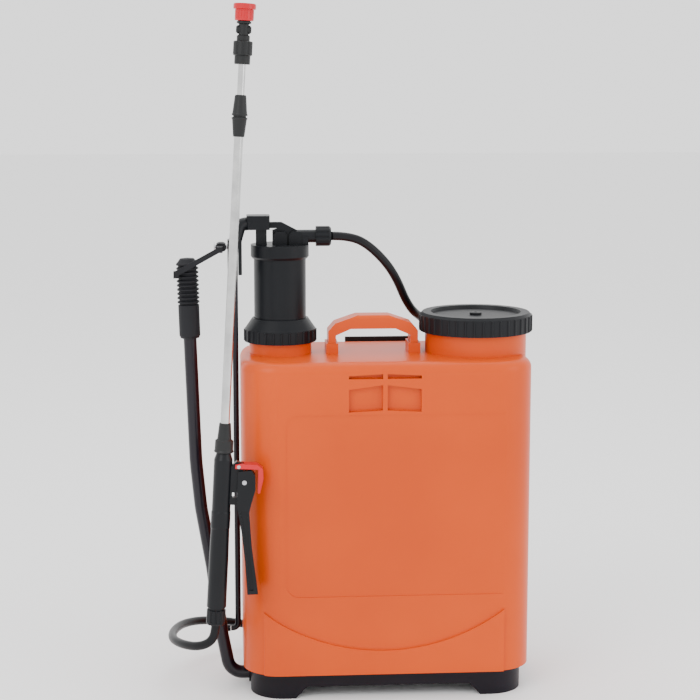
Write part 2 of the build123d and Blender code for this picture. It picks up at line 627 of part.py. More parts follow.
def gun_body():
    """The hollow handle with the bracket that carries the trigger, its lock and the valve."""
    body = lathe([(FILTER_BORE, -9), (9, -9), (9, 0), (GUN_R + 0.6, 0), (GUN_R + 0.5, 60), (GUN_R, 90),
                  (GUN_R + 0.5, 92), (GUN_R + 0.5, 109), (GUN_R, 111), (GUN_R, GUN_L - 8),
                  (GUN_R - 2.5, GUN_L - 0.3),
                  (SPIGOT_R, GUN_L - 0.3), (SPIGOT_R, GUN_L + 13), (LANCE_R + 0.05, GUN_L + 13),
                  (LANCE_R + 0.05, LANCE_S0 - 0.1), (GUN_BORE, LANCE_S0 - 0.1), (GUN_BORE, FILTER_L + 8),
                  (FILTER_BORE, FILTER_L + 8)])
    web = slab([(7, 118.5), (20.5, 118.5), (23.5, 134), (29.5, 134), (29.5, 157), (22.5, 157.5),
                (22.5, 165.5),
                (15, 168), (7, 160)], -WEB_HALF, WEB_HALF)
    web -= disc(GUN_BORE + 1, 100, 170)
    web -= slab([(11.5, 126.6), (19.6, 126.6), (20.6, 132.6), (11.5, 132.6)], -WEB_HALF - 1, WEB_HALF + 1)
    body += web
    body -= rod_y(TRIGGER_PIN_R + RUN, -20, 20, TRIGGER_X, TRIGGER_S)
    body -= rod_y(2 + RUN, -20, 20, LOCK_X, LOCK_S)
    body -= rod_x(VALVE_R, -7.5, 7, 0, STEM_S)
    body -= rod_x(STEM_R + RUN, 0, 40, 0, STEM_S)
    return body


def trigger():
    """The long blade with two cheeks that straddle the bracket."""
    outline = [(17, 157), (32, 159), (36.3, 153), (37.2, 137), (33.4, 121), (31.6, 111),
               (36.5, 70), (46, 18),
               (34, 17), (29.5, 55), (24, 88), (18, 115), (17, 122)]
    blade = slab(outline, -TRIGGER_HALF, TRIGGER_HALF)
    blade -= slab([(10, 115), (27.5, 115), (27.5, 132), (32.3, 132), (32.3, 165), (10, 165)],
                  -WEB_HALF - GAP, WEB_HALF + GAP)
    hollow = [(40.5, 22), (36, 22), (31.8, 56), (26.3, 90), (21, 112), (29.2, 112), (33.6, 72)]
    for side in (-1, 1):
        y0, y1 = sorted((side * (TRIGGER_HALF - 1.6), side * (TRIGGER_HALF + 1)))
        blade -= slab(hollow, y0, y1)
    return blade - rod_y(TRIGGER_PIN_R + RUN, -20, 20, TRIGGER_X, TRIGGER_S)


def trigger_lock():
    """The red clip that swings over the trigger's head and holds it pulled."""
    clip = slab([(13.5, 160.3), (13.5, 164.5), (20, 166), (38, 165.5), (44.5, 161), (45.6, 150),
                 (42.5, 133.5),
                 (40, 133.5), (39.6, 150), (39.2, 160.3)], -TRIGGER_HALF, TRIGGER_HALF)
    clip -= block(10, 23.4, -WEB_HALF - GAP, WEB_HALF + GAP, 150, 170)
    return clip - rod_y(2 + RUN, -20, 20, LOCK_X, LOCK_S)


def trigger_pin():
    """The rivet that the trigger turns on."""
    return rod_y(TRIGGER_PIN_R, -TRIGGER_HALF - 0.6, TRIGGER_HALF + 0.6, TRIGGER_X, TRIGGER_S)


def lock_pin():
    """The thin rivet that the lock turns on."""
    return rod_y(2, -TRIGGER_HALF - 0.4, TRIGGER_HALF + 0.4, LOCK_X, LOCK_S)


def valve_stem():
    """The push rod from the trigger's head to the valve's disc."""
    return rod_x(STEM_R, 5, 32.0, 0, STEM_S) + rod_x(VALVE_R - 0.3, 4.4, 6, 0, STEM_S)


def stem_seal():
    """The rubber ring on the stem's disc."""
    return rod_x(VALVE_R - 0.2, 6.05, 6.9, 0, STEM_S) - rod_x(STEM_R + 0.02, 5, 8, 0, STEM_S)


def valve_spring():
    """The spring that shuts the valve."""
    path = Helix(pitch=2.2, height=10.4, radius=2.9)
    wire = sweep(Plane(path @ 0, z_dir=path % 0) * Circle(0.45), path=path)
    return Pos(-6.8, 0, STEM_S) * Rot(0, 90, 0) * wire


def gun_filter():
    """The slotted filter tube in the handle."""
    body = lathe([(4.4, 4.4), (6.8, 4.4), (6.8, 7), (5.6, 7), (5.6, FILTER_L), (0, FILTER_L),
                  (0, FILTER_L - 2),
                  (4.4, FILTER_L - 2)])
    slots = [Rot(0, 0, 45 * i) * block(3, 8, -0.9, 0.9, a, a + 18)
             for i in range(8) for a in (12, 36, 60, 82)]
    return body - slots


def gun_hose_tail():
    """The hose tail clamped between the nut and the handle."""
    return lathe([(2.4, -GUN_NUT_L - 2.7), (4.6, -GUN_NUT_L - 2.7), (4.9, -14), (4.9, -11.5),
                  (8, -11.5), (8, -9.1),
                  (6.8, -9.1), (6.8, 4.2), (4, 4.2), (4, -9), (2.4, -9)])


def gun_hose_nut():
    """The fluted nut at the handle's lower end."""
    z0 = -GUN_NUT_L - 2.8
    body = lathe([(5.1, z0), (GUN_NUT_R - 1, z0), (GUN_NUT_R, z0 + 1.5), (GUN_NUT_R, -3.4),
                  (GUN_NUT_R - 0.8, -2.8),
                  (9.3, -2.8), (9.3, -11.7), (5.1, -11.7)])
    return body - [Rot(0, 0, 30 * i) * disc(1.2, z0 + 3, 0, GUN_NUT_R + 0.4) for i in range(12)]


def lance_nut():
    """The flared nut with a fluted cone that clamps the lance in the handle."""
    z0 = GUN_L
    body = lathe([(SPIGOT_R + 0.2, z0), (GUN_R - 0.2, z0), (GUN_R + 0.7, z0 + 1.2), (GUN_R, z0 + 3),
                  (GUN_R - 0.2, z0 + 13.4), (8, z0 + 15.2), (6.5, z0 + 33), (LANCE_R + 0.1, z0 + 33),
                  (LANCE_R + 0.1, z0 + 16), (SPIGOT_R + 0.2, z0 + 16)])
    return body - [Rot(0, 0, 45 * i) * Pos(8.4, 0, z0 + 26) * Rot(0, -4.8, 0) * Cylinder(0.9, 16)
                   for i in range(8)]


def lance_seal():
    """The rubber ring that seals the lance in its nut."""
    return ring(SPIGOT_R - 0.1, LANCE_R + 0.02, GUN_L + 13.1, GUN_L + 15.8)


# ---------------------------------------------------------------- lance

def lance_outer_tube():
    """The bright outer tube."""
    return ring(LANCE_R, LANCE_R - LANCE_WALL, LANCE_S0, LANCE_S1)


def lance_inner_tube():
    """The inner tube that slides out to lengthen the lance."""
    return ring(INNER_R, INNER_R - INNER_WALL, INNER_S0, NOZZLE_S + 24)


def flutes(count, at, width, s0, s1, lean):
    """Long shallow grooves round a tapered nut."""
    mid = (s0 + s1) / 2
    return [Rot(0, 0, 360 * (i + 0.5) / count) * Pos(at, 0, mid) * Rot(0, lean, 0) * Cylinder(width, s1 - s0)
            for i in range(count)]


def lock_sleeve():
    """The lower cone, fixed on the outer tube, with a threaded neck."""
    z1 = LOCK_NUT_S
    z0 = z1 - 23
    body = lathe([(LANCE_R + 0.05, z0), (6, z0), (6.4, z0 + 1), (8.1, z1 - 4.5), (8.75, z1 - 3.5),
                  (8.75, z1 - 2),
                  (7.2, z1 - 1.6), (7.2, z1 + 6), (5.9, z1 + 6), (5.9, LANCE_S1 + 0.1),
                  (LANCE_R + 0.05, LANCE_S1 + 0.1)])
    return body - flutes(8, 8.1, 0.8, z0, z1 - 5, 5.1)


def lock_nut():
    """The upper cone that is turned to grip the inner tube."""
    z0 = LOCK_NUT_S
    body = lathe([(7.3, z0), (8.75, z0), (8.75, z0 + 1.5), (8.1, z0 + 3), (6.4, z0 + 21), (5.6, z0 + 22.5),
                  (INNER_R + 0.08, z0 + 22.5), (INNER_R + 0.08, z0 + 9), (7.3, z0 + 9)])
    return body - flutes(8, 8.1, 0.8, z0 + 4, z0 + 23, -5.1)


def lock_grommet():
    """The rubber ring squeezed between the two cones."""
    return ring(5.8, INNER_R + 0.03, LANCE_S1 + 0.2, LOCK_NUT_S + 8.8)


def nozzle_nut():
    """The fluted nut that joins the nozzle to the inner tube."""
    z = NOZZLE_S
    body = lathe([(INNER_R + 0.05, z), (8.4, z), (8.7, z + 1), (8.7, z + 9), (10.5, z + 10), (10.5, z + 24),
                  (9.4, z + 25), (6.7, z + 25), (6.7, z + 13), (INNER_R + 0.05, z + 13)])
    return body - flutes(10, 11.1, 1.3, z + 11, z + 27, 0)


def nozzle_body():
    """The nozzle's stem, with its waist, two side lugs and a threaded head."""
    z = NOZZLE_S
    body = lathe([(INNER_R + 0.05, z + 13.1), (6.5, z + 13.1), (6.5, z + 25.1), (7.2, z + 25.2),
                  (7.2, z + 30.5),
                  (5.6, z + 31.6), (5.6, z + 43), (8, z + 44), (8, z + 46), (6.6, z + 46.4), (6.6, z + 56),
                  (2, z + 56), (2, z + 24.2), (INNER_R + 0.05, z + 24.2)])
    lugs = lathe([(0, -8.4), (3, -8.4), (4.6, -6.8), (4.6, 6.8), (3, 8.4), (0, 8.4)])
    body += Pos(0, 0, z + 37.3) * Rot(0, 90, 0) * lugs
    return body - disc(2, z + 24, z + 57)


def nozzle_swirl():
    """The disc with slanting slots that sets the liquid spinning."""
    z = NOZZLE_S + 56.1
    body = disc(6.3, z, z + 3)
    return body - [Rot(0, 0, 120 * i) * Pos(4, 0, z + 1.5) * Rot(30, 0, 0) * Cylinder(0.8, 8)
                   for i in range(3)]


def nozzle_cap():
    """The red cap that is turned to change the spray."""
    z = NOZZLE_S
    body = lathe([(6.7, z + 46.8), (9.9, z + 46.8), (10.4, z + 48), (10.4, z + 58.6),
                  (12.4, z + 59.4), (12.4, z + 64),
                  (11.6, z + 65.2), (4, z + 65.2), (2.4, z + 63.6), (0.8, z + 63.6),
                  (0.8, z + 59.5), (6.7, z + 59.5)])
    return body - [Rot(0, 0, 18 * i) * disc(0.7, z + 49, z + 58, 10.7) for i in range(20)]


# ---------------------------------------------------------------- straps

def strap_bracket():
    """The plate on the tank's back edge with a cross bar for the straps."""
    y = TANK_D / 2
    plate = block(-BRACKET_W / 2, BRACKET_W / 2, y + 0.1, y + 4, BRACKET_Z - 13, BRACKET_Z + 14)
    bar = rod_x(3, -BRACKET_W / 2, BRACKET_W / 2, y + 12, BRACKET_Z)
    ears = [block(x - 2, x + 2, y + 3, y + 15, BRACKET_Z - 6, BRACKET_Z + 6)
            for x in (-BRACKET_W / 2 + 2, 0, BRACKET_W / 2 - 2)]
    holes = [rod_y(SCREW_R + GAP, y - 1, y + 5, x, BRACKET_Z) for x in bracket_screw_places()]
    return plate + bar + ears - holes


def bracket_screws():
    """The two screws that hold the bracket."""
    y = TANK_D / 2
    return [rod_y(SCREW_R, y - 10, y + 4.5, x, BRACKET_Z)
            + rod_y(SCREW_R + 2, y + 4.1, y + 6.5, x, BRACKET_Z)
            for x in bracket_screw_places()]


def base_hooks():
    """Where the straps' lower ends go through the tray's back, along X."""
    return (-60.0, 60.0)


def pad_path(side):
    """The middle line of one hanging pad, bowed away from the tank."""
    top = BRACKET_Z - 18
    near = TANK_D / 2 + 20
    return ThreePointArc((side * 31, near, top), (side * 44, near + 22, (top + PAD_FOOT) / 2 + 2),
                         (side * 57, near, PAD_FOOT))


def shoulder_pad(side):
    """One padded shoulder strap as a plain bowed slab."""
    path = pad_path(side)
    return sweep(Plane(path @ 0, x_dir=(1, 0, 0), z_dir=path % 0) * Rectangle(PAD_W, PAD_T), path=path)


def strap_loop(side):
    """The webbing loop over the bracket's bar, down to the pad."""
    y = TANK_D / 2 + 12
    x0, x1 = sorted((side * 5, side * 33))
    loop = rod_x(3.1 + WEB_T, x0, x1, y, BRACKET_Z) - rod_x(3.1, x0 - 1, x1 + 1, y, BRACKET_Z)
    tail = block(x0, x1, y + 3.2, y + 3.2 + WEB_T, BRACKET_Z - 14, BRACKET_Z)
    return loop + tail


def lower_webbing(side):
    """The adjustable webbing from the pad's end to the tray."""
    back = TANK_D / 2
    path = FilletPolyline((side * 57.1, back + 18.9, PAD_FOOT - 2), (side * 59, back + 7, 56),
                          (side * 60, back + 2.5, 34), (side * 60, back + 2.5, 9), radius=[20, 20])
    return sweep(Plane(path @ 0, x_dir=(1, 0, 0), z_dir=path % 0) * Rectangle(WEB_W, WEB_T), path=path)


def strap_buckle(side):
    """The three-bar buckle on the lower webbing."""
    frame = Box(WEB_W + 9, 9, 22) - Box(WEB_W + 0.6, WEB_T + 0.8, 30)
    frame -= Pos(0, 6, 5) * Box(WEB_W, 8, 4) + Pos(0, 6, -4) * Box(WEB_W, 8, 4)
    return Pos(side * 58.1, TANK_D / 2 + 12.7, 78.2) * Rot(-14.8, 0, 0) * Rot(0, side * -2.3, 0) * frame


def tray_hooks():
    """The two slotted lugs on the tray's back."""
    lugs = []
    for x in base_hooks():
        lug = block(x - WEB_W / 2 - 5, x + WEB_W / 2 + 5, BASE_D / 2 + 0.1, BASE_D / 2 + 15, 12, 27)
        web_y = TANK_D / 2 + 2.5
        slot = WEB_T / 2 + 0.4
        lug -= block(x - WEB_W / 2 - 0.5, x + WEB_W / 2 + 0.5, web_y - slot, web_y + slot, 0, 40)
        lugs.append(lug)
    return lugs


# ---------------------------------------------------------------- hose

HOSE_POINTS = [
    (OUTLET_X1, 0, OUTLET_Z), (OUTLET_X1 + 23, 0, OUTLET_Z), (OUTLET_X1 + 47, 3, OUTLET_Z - 13),
    (OUTLET_X1 + 74, 11, OUTLET_Z - 43), (33, 36, CAP_TOP), (56, 72, CAP_TOP - 20), (84, 104, TANK_TOP - 2),
    (104, 113, TANK_TOP - 52), (116, 110, 262), (120, 108, 172), (112, 114, 96), (88, 122, 38), (42, 127, 9),
    (-8, 129, 5.2), (-56, 128, 5.4), (-102, 123, 12), (-146, 112, 26), (-186, 95, 40), (-219, 71, 49),
    (-238, 43, 54), (-247, 13, 57), (-250, -18, 60), (-247, -48, 63), (-236, -74, 66),
    (GUN_FOOT[0] - 23, GUN_FOOT[1] + 6.8, 69), (GUN_FOOT[0] - 9, GUN_FOOT[1] - 0.4, 75),
    (GUN_FOOT[0] - 2, GUN_FOOT[1] - 1.1, 85),
]


def hose_path():
    """The hose's route: straight runs joined by arcs as large as the runs allow."""
    up = Vector(*GUN_AXIS).normalized()
    last = Vector(*GUN_FOOT) - up * (GUN_NUT_L + 2.8)
    points = [Vector(*p) for p in HOSE_POINTS] + [last]
    radii = []
    for before, here, after in zip(points, points[1:], points[2:]):
        turn = (here - before).get_angle(after - here)
        short = min((here - before).length, (after - here).length)
        radii.append(0.45 * short / math.tan(math.radians(turn / 2)))
    print("hose radii", [round(r) for r in radii])
    return FilletPolyline(*points, radius=radii)


def hose():
    """The spray hose from the pump's outlet to the gun."""
    path = hose_path()
    tube = sweep(Plane(path @ 0, z_dir=path % 0) * Circle(HOSE_R), path=path)
    print("hose length", round(path.length), "volume ratio", round(
        tube.volume / (math.pi * HOSE_R ** 2 * path.length), 4))
    return tube


# ---------------------------------------------------------------- pieces

PIECES = {
    "tank": tank(),
    "carry_handle": carry_handle(),
    "base_tray": base_tray(),
    "tray_strap_lugs": tray_hooks(),
    "base_screws": base_screws(),
    "lever_bushes": lever_bushes(),
    "lever_bar": lever(),
    "lever_washer": lever_washer(),
    "lever_split_pin": lever_split_pin(),
    "lever_grip": lever_grip(),
    "connecting_rod": connecting_rod(),
    "pump_cylinder": pump_cylinder(),
    "pump_gasket": ring(NECK_R, CYL_R + CYL_WALL + 0.3, NECK_TOP, NECK_TOP + GASKET_T, PUMP_X),
    "foot_valve": foot_valve(),
    "foot_ball": valve_ball(CYL_BOTTOM),
    "suction_strainer": suction_strainer(),
    "pump_nut": pump_nut(),
    "air_chamber": air_chamber(),
    "piston": piston(),
    "piston_cup": piston_cup(),
    "piston_ball": valve_ball(CHAMBER_BOTTOM),
    "chamber_top": chamber_top(),
    "dip_tube": dip_tube(),
    "fork_pin": fork_pin(),
    "stow_strap": stow_strap(),
    "outlet_nut": outlet_nut(),
    "filler_cap": filler_cap(),
    "filler_seal": filler_seal(),
    "vent_disc": vent_disc(),
    "filler_strainer": filler_strainer(),
    "gun_body": along_gun(gun_body()),
    "trigger": along_gun(trigger()),
    "trigger_lock": along_gun(trigger_lock()),
    "trigger_pin": along_gun(trigger_pin()),
    "lock_pin": along_gun(lock_pin()),
    "valve_stem": along_gun(valve_stem()),
    "stem_seal": along_gun(stem_seal()),
    "valve_spring": along_gun(valve_spring()),
    "gun_filter": along_gun(gun_filter()),
    "gun_hose_tail": along_gun(gun_hose_tail()),
    "gun_hose_nut": along_gun(gun_hose_nut()),
    "lance_nut": along_gun(lance_nut()),
    "lance_seal": along_gun(lance_seal()),
    "lance_outer_tube": along_gun(lance_outer_tube()),
    "lance_inner_tube": along_gun(lance_inner_tube()),
    "lock_sleeve": along_gun(lock_sleeve()),
    "lock_nut": along_gun(lock_nut()),
    "lock_grommet": along_gun(lock_grommet()),
    "nozzle_nut": along_gun(nozzle_nut()),
    "nozzle_body": along_gun(nozzle_body()),
    "nozzle_swirl": along_gun(nozzle_swirl()),
    "nozzle_cap": along_gun(nozzle_cap()),
    "strap_bracket": strap_bracket(),
    "bracket_screws": bracket_screws(),
    "shoulder_pads": [shoulder_pad(side) for side in (-1, 1)],
    "strap_loops": [strap_loop(side) for side in (-1, 1)],
    "lower_webbing": [lower_webbing(side) for side in (-1, 1)],
    "strap_buckles": [strap_buckle(side) for side in (-1, 1)],
    "hose": hose(),
}

for name, shape in PIECES.items():
    save(Compound(children=list(shape)) if isinstance(shape, list) else shape, name)
print(len(PIECES), "pieces")
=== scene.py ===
import bpy
import math
import numpy as np
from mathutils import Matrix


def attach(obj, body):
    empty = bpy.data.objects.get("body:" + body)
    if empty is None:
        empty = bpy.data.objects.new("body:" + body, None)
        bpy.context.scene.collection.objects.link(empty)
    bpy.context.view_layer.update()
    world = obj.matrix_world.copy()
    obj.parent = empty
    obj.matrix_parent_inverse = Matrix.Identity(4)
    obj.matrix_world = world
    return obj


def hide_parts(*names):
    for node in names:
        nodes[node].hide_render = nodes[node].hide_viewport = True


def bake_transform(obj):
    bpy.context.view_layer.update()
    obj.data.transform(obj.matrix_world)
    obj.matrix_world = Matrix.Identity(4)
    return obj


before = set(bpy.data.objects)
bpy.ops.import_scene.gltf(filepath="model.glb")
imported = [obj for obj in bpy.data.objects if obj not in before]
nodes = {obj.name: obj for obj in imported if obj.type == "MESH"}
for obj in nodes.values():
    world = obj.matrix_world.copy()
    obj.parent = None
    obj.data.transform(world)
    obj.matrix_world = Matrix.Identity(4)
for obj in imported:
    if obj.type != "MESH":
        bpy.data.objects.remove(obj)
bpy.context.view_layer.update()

# The camera stands a little to the left of the sprayer and looks slightly down on it,
# through a moderately long lens.
camera_data = bpy.data.cameras.new("camera")
camera_data.lens = 93.9
camera_data.sensor_width = 36.0
camera = bpy.data.objects.new("camera", camera_data)
camera.location = (-0.1854, -2.0949, 0.730)
camera.rotation_euler = (math.radians(80.9), 0.0, math.radians(-4.0))
bpy.context.scene.collection.objects.link(camera)
bpy.context.scene.camera = camera

# The floor is a wide pale sheet of smooth board, and a plain pale surround lights the whole scene.
FLOOR_HALF = 12.0
floor_mesh = bpy.data.meshes.new("floor")
floor_mesh.from_pydata([(-FLOOR_HALF, -FLOOR_HALF, 0), (FLOOR_HALF, -FLOOR_HALF, 0),
                        (FLOOR_HALF, FLOOR_HALF, 0), (-FLOOR_HALF, FLOOR_HALF, 0)], [], [(0, 1, 2, 3)])
floor = bpy.data.objects.new("floor", floor_mesh)
bpy.context.scene.collection.objects.link(floor)
board = bpy.data.materials.new("floor_board")
board.use_nodes = True
board_shader = board.node_tree.nodes["Principled BSDF"]
board_shader.inputs["Base Color"].default_value = (0.93, 0.93, 0.93, 1)
board_shader.inputs["Roughness"].default_value = 0.7
board_shader.inputs["Specular IOR Level"].default_value = 0.2
floor_mesh.materials.append(board)

world = bpy.data.worlds.new("surround")
world.use_nodes = True
world.node_tree.nodes["Background"].inputs["Color"].default_value = (1, 1, 1, 1)
world.node_tree.nodes["Background"].inputs["Strength"].default_value = 1.7
bpy.context.scene.world = world

# Three soft boxes: the main one high at the left, a weaker one at the right, and one overhead.
for name, place, width, watts in (("main_light", (-1.6, -1.9, 2.1), 1.6, 34.0),
                                  ("side_light", (2.0, -1.3, 1.2), 1.4, 12.0),
                                  ("top_light", (0.1, 0.7, 2.5), 1.8, 16.0)):
    lamp = bpy.data.lights.new(name, "AREA")
    lamp.size = width
    lamp.energy = watts
    lamp_object = bpy.data.objects.new(name, lamp)
    x, y, z = place
    lamp_object.location = place
    lamp_object.rotation_euler = (math.atan2(math.hypot(x, y), z - 0.3), 0, math.atan2(x, -y))
    bpy.context.scene.collection.objects.link(lamp_object)


# The spray hose is smooth black rubber, 10 mm thick and 1.155 m long. It leaves the pump's outlet,
# drops behind the tank, runs round the pump's side and turns up under the gun.
HOSE_RADIUS = 0.005
HOSE_EXIT = (-0.061, 0.0, 0.527)
HOSE_ROUTE = [
    HOSE_EXIT, (-0.038, 0.0, 0.527), (-0.014, 0.003, 0.514), (0.013, 0.011, 0.484), (0.033, 0.036, 0.438),
    (0.056, 0.072, 0.418), (0.084, 0.104, 0.390), (0.104, 0.113, 0.340), (0.116, 0.110, 0.262),
    (0.120, 0.108, 0.172), (0.112, 0.114, 0.096), (0.088, 0.122, 0.038), (0.042, 0.127, 0.009),
    (-0.008, 0.129, 0.0052), (-0.056, 0.128, 0.0054), (-0.102, 0.123, 0.012), (-0.146, 0.112, 0.026),
    (-0.186, 0.095, 0.040), (-0.219, 0.071, 0.049), (-0.238, 0.043, 0.054), (-0.247, 0.013, 0.057),
    (-0.250, -0.018, 0.060), (-0.247, -0.048, 0.063), (-0.236, -0.074, 0.066), (-0.220, -0.0926, 0.069),
    (-0.206, -0.0998, 0.075), (-0.199, -0.1005, 0.085), (-0.19816, -0.10001, 0.09774),
]


def carried(points, profile, start_across=(0.0, 1.0, 0.0)):
    """A closed profile carried along a line: at each point the profile's two numbers are laid out along
    the line's across and normal directions, which turn with the line by the least amount.
    Returns the grid of places, one row for each point of the line."""
    line = np.asarray(points, float)
    tangent = np.gradient(line, axis=0)
    tangent /= np.linalg.norm(tangent, axis=1, keepdims=True)
    across = np.empty_like(line)
    last = np.asarray(start_across, float)
    for i, t in enumerate(tangent):
        last = last - t * (last @ t)
        last = last / np.linalg.norm(last)
        across[i] = last
    normal = np.cross(tangent, across)
    profile = np.broadcast_to(np.asarray(profile, float), (len(line),) + np.asarray(profile).shape[-2:])
    return (line[:, None, :] + profile[:, :, :1] * across[:, None, :]
            + profile[:, :, 1:] * normal[:, None, :])


def grid_piece(name, grid, caps=True):
    """A mesh from a grid of places whose rows are closed rings: each cell is a quad, and each end ring
    is closed by a fan from its middle. Its UV map holds metres round the ring and along the line."""
    rows, ring, _ = grid.shape
    verts = grid.reshape(-1, 3)
    i, j = np.meshgrid(np.arange(rows - 1), np.arange(ring), indexing="ij")
    k = (j + 1) % ring
    quads = np.stack([i * ring + j, (i + 1) * ring + j, (i + 1) * ring + k, i * ring + k], -1).reshape(-1, 4)
    faces = quads.tolist()
    if caps:
        verts = np.vstack([verts, grid[0].mean(0), grid[-1].mean(0)])
        first, final = rows * ring, rows * ring + 1
        for a in range(ring):
            b = (a + 1) % ring
            faces.append((first, a, b))
            faces.append((final, (rows - 1) * ring + b, (rows - 1) * ring + a))
    mesh = bpy.data.meshes.new(name)
    mesh.from_pydata(verts.tolist(), [], faces)
    along = np.concatenate([[0], np.cumsum(np.linalg.norm(np.diff(grid.mean(1), axis=0), axis=1))])
    step = np.linalg.norm(np.diff(grid[rows // 2], axis=0, append=grid[rows // 2][:1]), axis=1)
    round_way = np.concatenate([[0], np.cumsum(step)])
    layer = mesh.uv_layers.new(name="UVMap")
    uv = np.zeros((len(mesh.loops), 2))
    cells = len(quads)
    corner_u = np.stack([round_way[j], round_way[j], round_way[j + 1], round_way[j + 1]],
                        -1).reshape(cells * 4)
    corner_v = np.stack([along[i], along[i + 1], along[i + 1], along[i]], -1).reshape(cells * 4)
    uv[:cells * 4, 0] = corner_u
    uv[:cells * 4, 1] = corner_v
    layer.data.foreach_set("uv", uv.ravel())
    mesh.validate()
    mesh.shade_smooth()
    piece = bpy.data.objects.new(name, mesh)
    bpy.context.scene.collection.objects.link(piece)
    return piece


def spline_points(route, resolution):
    """The places along the smooth NURBS line that has the route's points as its control points."""
    curve = bpy.data.curves.new("route", "CURVE")
    curve.dimensions = "3D"
    spline = curve.splines.new("NURBS")
    spline.points.add(len(route) - 1)
    for point, place in zip(spline.points, route):
        point.co = (*place, 1)
    spline.order_u = 3
    spline.use_endpoint_u = True
    spline.resolution_u = resolution
    curve_object = bpy.data.objects.new("route", curve)
    bpy.context.scene.collection.objects.link(curve_object)
    line = bpy.data.meshes.new_from_object(curve_object)
    places = np.empty(len(line.vertices) * 3)
    line.vertices.foreach_get("co", places)
    bpy.data.objects.remove(curve_object)
    bpy.data.meshes.remove(line)
    bpy.data.curves.remove(curve)
    return places.reshape(-1, 3)


def ring_profile(radius, count):
    """A circle: radius times cosine and sine of even angles, running clockwise."""
    angle = -np.linspace(0, 2 * math.pi, count, endpoint=False)
    return np.stack([radius * np.cos(angle), radius * np.sin(angle)], -1)


hose_line = spline_points(HOSE_ROUTE, 12)
hose = grid_piece("hose_tube", carried(hose_line, ring_profile(HOSE_RADIUS, 28)))


def surface(name, light, dark, rough, grain, bump, metal=0.0, coat=0.0, patch=9.0, gloss=0.2, spread=0.06):
    """A material whose colour drifts between two near tones in soft patches, whose roughness drifts by
    spread with a finer noise, and whose finest noise lifts the surface. Sizes are noise scales per metre."""
    material = bpy.data.materials.new(name)
    material.use_nodes = True
    tree = material.node_tree
    shader = tree.nodes["Principled BSDF"]
    shader.inputs["Metallic"].default_value = metal
    shader.inputs["Coat Weight"].default_value = coat
    shader.inputs["Coat Roughness"].default_value = 0.15
    shader.inputs["Specular IOR Level"].default_value = gloss
    place = tree.nodes.new("ShaderNodeTexCoord")
    patches = tree.nodes.new("ShaderNodeTexNoise")
    patches.inputs["Scale"].default_value = patch
    patches.inputs["Detail"].default_value = 6.0
    tones = tree.nodes.new("ShaderNodeValToRGB")
    tones.color_ramp.elements[0].position = 0.35
    tones.color_ramp.elements[1].position = 0.65
    tones.color_ramp.elements[0].color = (*dark, 1)
    tones.color_ramp.elements[1].color = (*light, 1)
    fine = tree.nodes.new("ShaderNodeTexNoise")
    fine.inputs["Scale"].default_value = grain
    fine.inputs["Detail"].default_value = 4.0
    sheen_range = tree.nodes.new("ShaderNodeMapRange")
    sheen_range.inputs["To Min"].default_value = rough - spread
    sheen_range.inputs["To Max"].default_value = rough + spread
    lift = tree.nodes.new("ShaderNodeBump")
    lift.inputs["Strength"].default_value = bump
    lift.inputs["Distance"].default_value = 0.0004
    link = tree.links.new
    link(place.outputs["Object"], patches.inputs["Vector"])
    link(place.outputs["Object"], fine.inputs["Vector"])
    link(patches.outputs["Fac"], tones.inputs["Fac"])
    link(tones.outputs["Color"], shader.inputs["Base Color"])
    link(patches.outputs["Fac"], sheen_range.inputs["Value"])
    link(sheen_range.outputs["Result"], shader.inputs["Roughness"])
    link(fine.outputs["Fac"], lift.inputs["Height"])
    link(lift.outputs["Normal"], shader.inputs["Normal"])
    return material


hose_rubber = surface("hose_rubber", (0.0055, 0.0055, 0.0070), (0.0030, 0.0030, 0.0040), 0.34, 900.0, 0.12)
hose.data.materials.append(hose_rubber)
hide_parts("hose")
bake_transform(hose)


def dress(material, *names):
    """Puts a material on every slot of the named CAD nodes."""
    for name in names:
        node = nodes[name]
        if not node.material_slots:
            node.data.materials.append(material)
        for place in node.material_slots:
            place.material = material


# The tank is one blow-moulded shell of orange polyethylene, a little see-through and satin bright.
# The carry handle is moulded in the same plastic and clips into two sockets in the tank's top.
orange = surface("orange_polyethylene", (0.62, 0.070, 0.0015), (0.55, 0.058, 0.0010), 0.36, 420.0,
                 0.10, coat=0.04, patch=5.0)
orange.node_tree.nodes["Principled BSDF"].inputs["Subsurface Weight"].default_value = 0.08
orange.node_tree.nodes["Principled BSDF"].inputs["Subsurface Scale"].default_value = 0.006
orange.node_tree.nodes["Principled BSDF"].inputs["Subsurface Radius"].default_value = (1.0, 0.35, 0.12)
dress(orange, "tank", "carry_handle")

# The tray that the tank stands on is injection-moulded polypropylene, nearly black with a warm cast,
# screwed up into the tank. The strap lugs and the lever's two bushes are the same plastic.
base_black = surface("tray_polypropylene", (0.0048, 0.0030, 0.0070), (0.0026, 0.0016, 0.0040),
                     0.42, 700.0, 0.22)
dress(base_black, "base_tray", "tray_strap_lugs", "lever_bushes")

# Screws, pins, washer and the small springs are steel with bright zinc plating, barrel-plated and
# so slightly mottled.
zinc = surface("zinc_plate", (0.62, 0.62, 0.64), (0.46, 0.46, 0.48), 0.32, 1500.0, 0.15, metal=1.0,
               patch=160.0, gloss=0.5, spread=0.10)
dress(zinc, "base_screws", "bracket_screws", "fork_pin", "lever_washer", "lever_split_pin", "trigger_pin",
      "lock_pin", "valve_spring")

# The two valve balls are ground stainless steel.
ball_steel = surface("ground_steel", (0.66, 0.66, 0.67), (0.58, 0.58, 0.59), 0.12, 2500.0, 0.03, metal=1.0,
                     spread=0.03)
dress(ball_steel, "foot_ball", "piston_ball")

